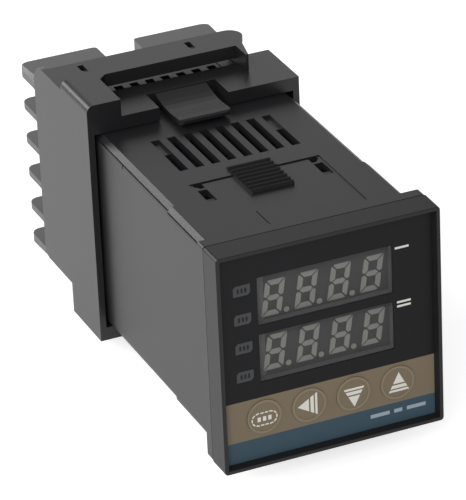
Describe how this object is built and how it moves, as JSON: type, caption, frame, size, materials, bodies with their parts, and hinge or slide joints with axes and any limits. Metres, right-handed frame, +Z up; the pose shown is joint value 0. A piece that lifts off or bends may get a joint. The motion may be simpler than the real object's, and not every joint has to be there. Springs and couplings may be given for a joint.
{
  "type": "temperature controller",
  "caption": "Square panel-mounted temperature controller with display windows, round keys, a slotted case, a slide-on ratchet mounting collar and a rear screw terminal block.",
  "frame": {"origin": "centre of the panel cut-out, in the plane of the flange's back face", "axes": "+X right seen from the front, +Y back into the panel, +Z up"},
  "size_m": [0.048, 0.1095, 0.0582],
  "materials": {
    "case_plastic": "fine satin moulding",
    "block_plastic": "satin moulding",
    "collar_plastic": "satin moulding",
    "frame_plastic": "satin moulding",
    "front_sheet": "printed matt sheet",
    "smoked_window": "smoked clear plastic",
    "grey_window": "smooth",
    "key_plastic": "printed matt sheet over the key",
    "switch_plastic": "moulded",
    "display_body": "black painted face",
    "segment_plastic": "diffusing",
    "guide_plastic": "clear moulded",
    "lamp_plastic": "smooth",
    "board_laminate": "green lacquered laminate",
    "header_plastic": "moulded",
    "core_steel": "stacked sheets",
    "copper_winding": "enamelled copper wire",
    "sink_aluminium": "extruded",
    "chip_plastic": "moulded",
    "can_aluminium": "sleeved can",
    "contact_brass": "tinned",
    "screw_steel": "nickel plated"
  },
  "bodies": {
    "case": {"housing": "case_plastic", "terminal_block": "block_plastic", "front_bezel": "frame_plastic", "front_overlay": "front_sheet", "window_lenses": "smoked_window", "indicator_lenses": "grey_window", "switch_bases": "switch_plastic", "upper_display": "display_body", "lower_display": "display_body", "upper_segments": "segment_plastic", "lower_segments": "segment_plastic", "light_guides": "guide_plastic", "indicator_lamps": "lamp_plastic", "display_board": "board_laminate", "power_board": "board_laminate", "control_board": "board_laminate", "board_headers": "header_plastic", "board_spacer": "header_plastic", "output_relay": "header_plastic", "transformer_core": "core_steel", "transformer_winding": "copper_winding", "heat_sink": "sink_aluminium", "power_transistor": "chip_plastic", "processor": "chip_plastic", "filter_capacitors": "can_aluminium", "terminal_contacts": "contact_brass", "terminal_screws": "screw_steel", "terminal_washers": "screw_steel"},
    "collar": {"mounting_bracket": "collar_plastic"},
    "set_key": {"key_set": "key_plastic", "plunger_set": "switch_plastic"},
    "shift_key": {"key_shift": "key_plastic", "plunger_shift": "switch_plastic"},
    "down_key": {"key_down": "key_plastic", "plunger_down": "switch_plastic"},
    "up_key": {"key_up": "key_plastic", "plunger_up": "switch_plastic"}
  },
  "joints": [
    {"name": "collar_slide", "type": "slide", "parent": "case", "child": "collar", "axis": [0, -1, 0], "range_m": [-0.012, 0.049]},
    {"name": "press_set", "type": "slide", "parent": "case", "child": "set_key", "axis": [0, 1, 0], "range_m": [0, 0.00035], "stiffness_N_per_m": 1000},
    {"name": "press_shift", "type": "slide", "parent": "case", "child": "shift_key", "axis": [0, 1, 0], "range_m": [0, 0.00035], "stiffness_N_per_m": 1000},
    {"name": "press_down", "type": "slide", "parent": "case", "child": "down_key", "axis": [0, 1, 0], "range_m": [0, 0.00035], "stiffness_N_per_m": 1000},
    {"name": "press_up", "type": "slide", "parent": "case", "child": "up_key", "axis": [0, 1, 0], "range_m": [0, 0.00035], "stiffness_N_per_m": 1000}
  ]
}
